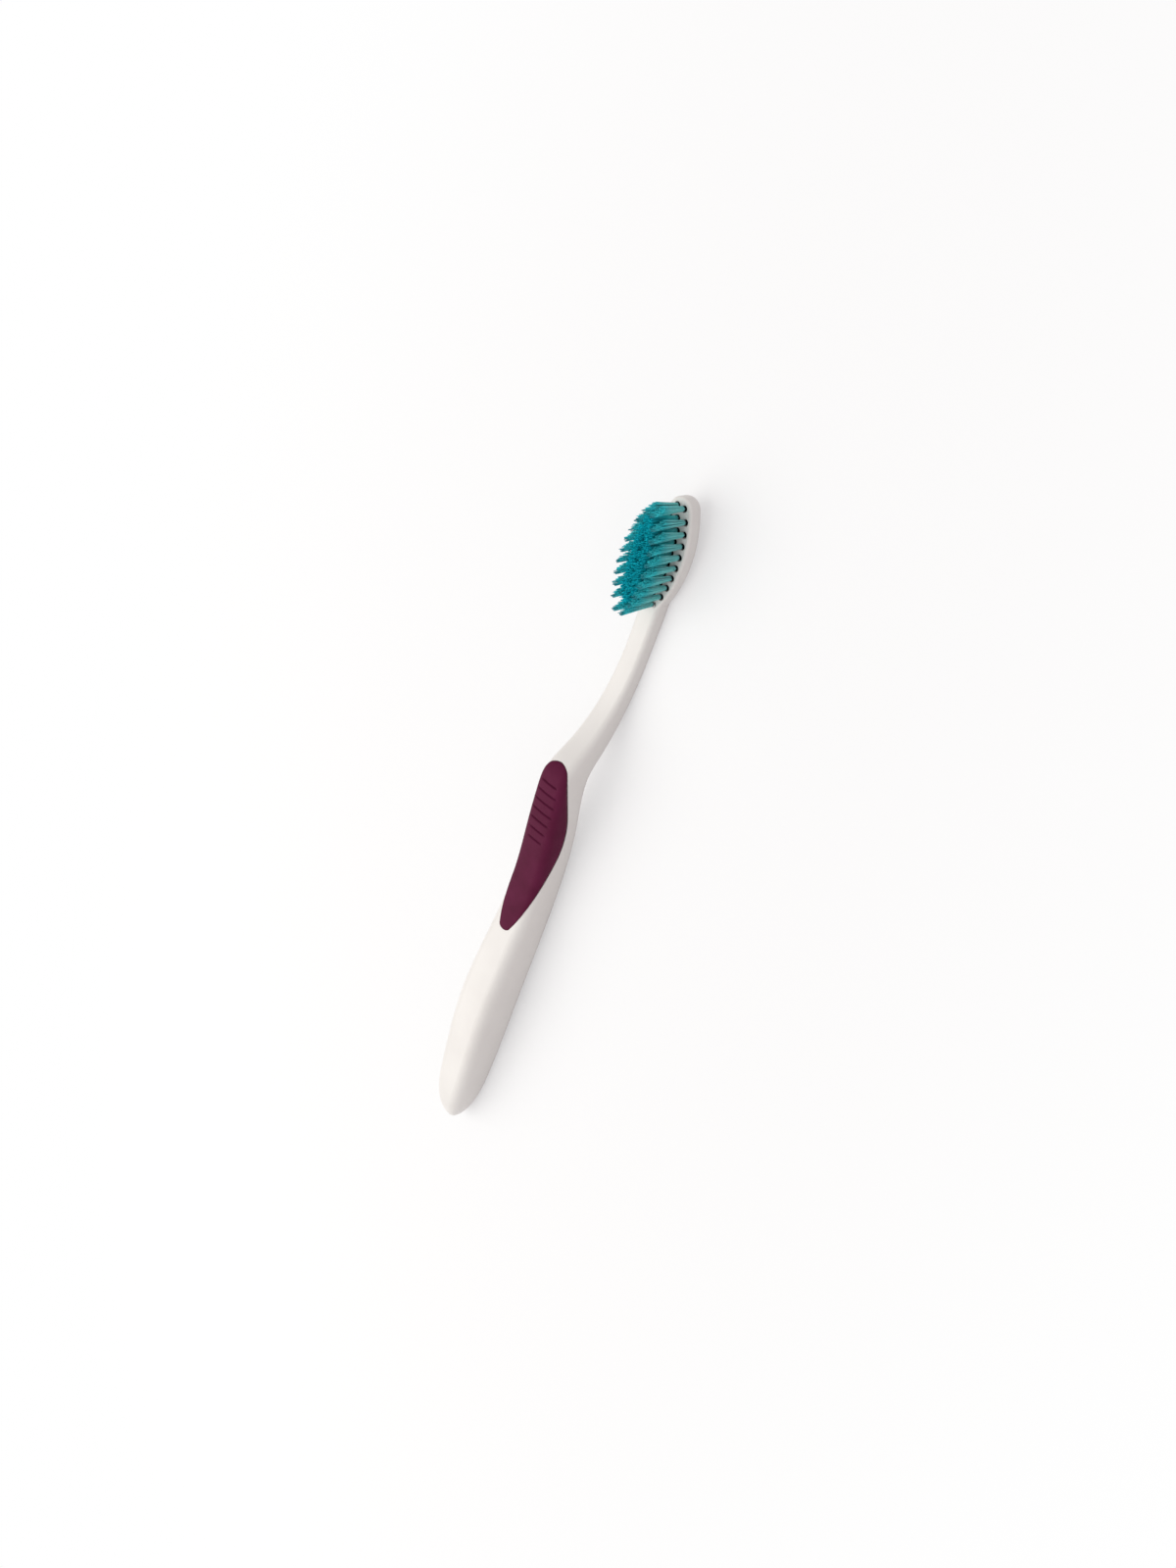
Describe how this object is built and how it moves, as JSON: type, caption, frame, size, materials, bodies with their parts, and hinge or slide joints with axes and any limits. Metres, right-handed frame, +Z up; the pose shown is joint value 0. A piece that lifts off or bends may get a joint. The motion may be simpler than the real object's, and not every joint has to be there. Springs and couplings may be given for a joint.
{
  "type": "manual toothbrush",
  "caption": "Manual toothbrush lying on its back: curved one-piece handle, slim neck and oval head, soft ridged thumb grip, and upright filament tufts with slanted outer tips.",
  "frame": {"origin": "on the surface that the brush lies on, under the middle of its length and width", "axes": "+X along the brush towards the head, +Y across it, +Z up, out of the bristle side"},
  "size_m": [0.19, 0.0124, 0.0183],
  "materials": {
    "handle": "glossy off-white polypropylene moulding",
    "grip": "satin burgundy thermoplastic elastomer",
    "bristle_outer": "light teal nylon filaments",
    "bristle_inner": "deep teal nylon filaments",
    "anchor": "plain cut strip"
  },
  "bodies": {
    "root": {"handle": "handle", "thumb_grip": "grip", "tuft_anchors": "anchor", "tuft_01_1": "bristle_outer", "tuft_01_2": "bristle_outer", "tuft_02_1": "bristle_outer", "tuft_02_2": "bristle_inner", "tuft_02_3": "bristle_outer", "tuft_03_1": "bristle_outer", "tuft_03_2": "bristle_inner", "tuft_03_3": "bristle_inner", "tuft_03_4": "bristle_outer", "tuft_04_1": "bristle_outer", "tuft_04_2": "bristle_inner", "tuft_04_3": "bristle_inner", "tuft_04_4": "bristle_outer", "tuft_05_1": "bristle_outer", "tuft_05_2": "bristle_inner", "tuft_05_3": "bristle_inner", "tuft_05_4": "bristle_outer", "tuft_06_1": "bristle_outer", "tuft_06_2": "bristle_inner", "tuft_06_3": "bristle_inner", "tuft_06_4": "bristle_outer", "tuft_07_1": "bristle_outer", "tuft_07_2": "bristle_inner", "tuft_07_3": "bristle_inner", "tuft_07_4": "bristle_outer", "tuft_08_1": "bristle_outer", "tuft_08_2": "bristle_inner", "tuft_08_3": "bristle_inner", "tuft_08_4": "bristle_outer", "tuft_09_1": "bristle_outer", "tuft_09_2": "bristle_inner", "tuft_09_3": "bristle_outer", "tuft_10_1": "bristle_outer", "tuft_10_2": "bristle_outer"}
  },
  "joints": []
}
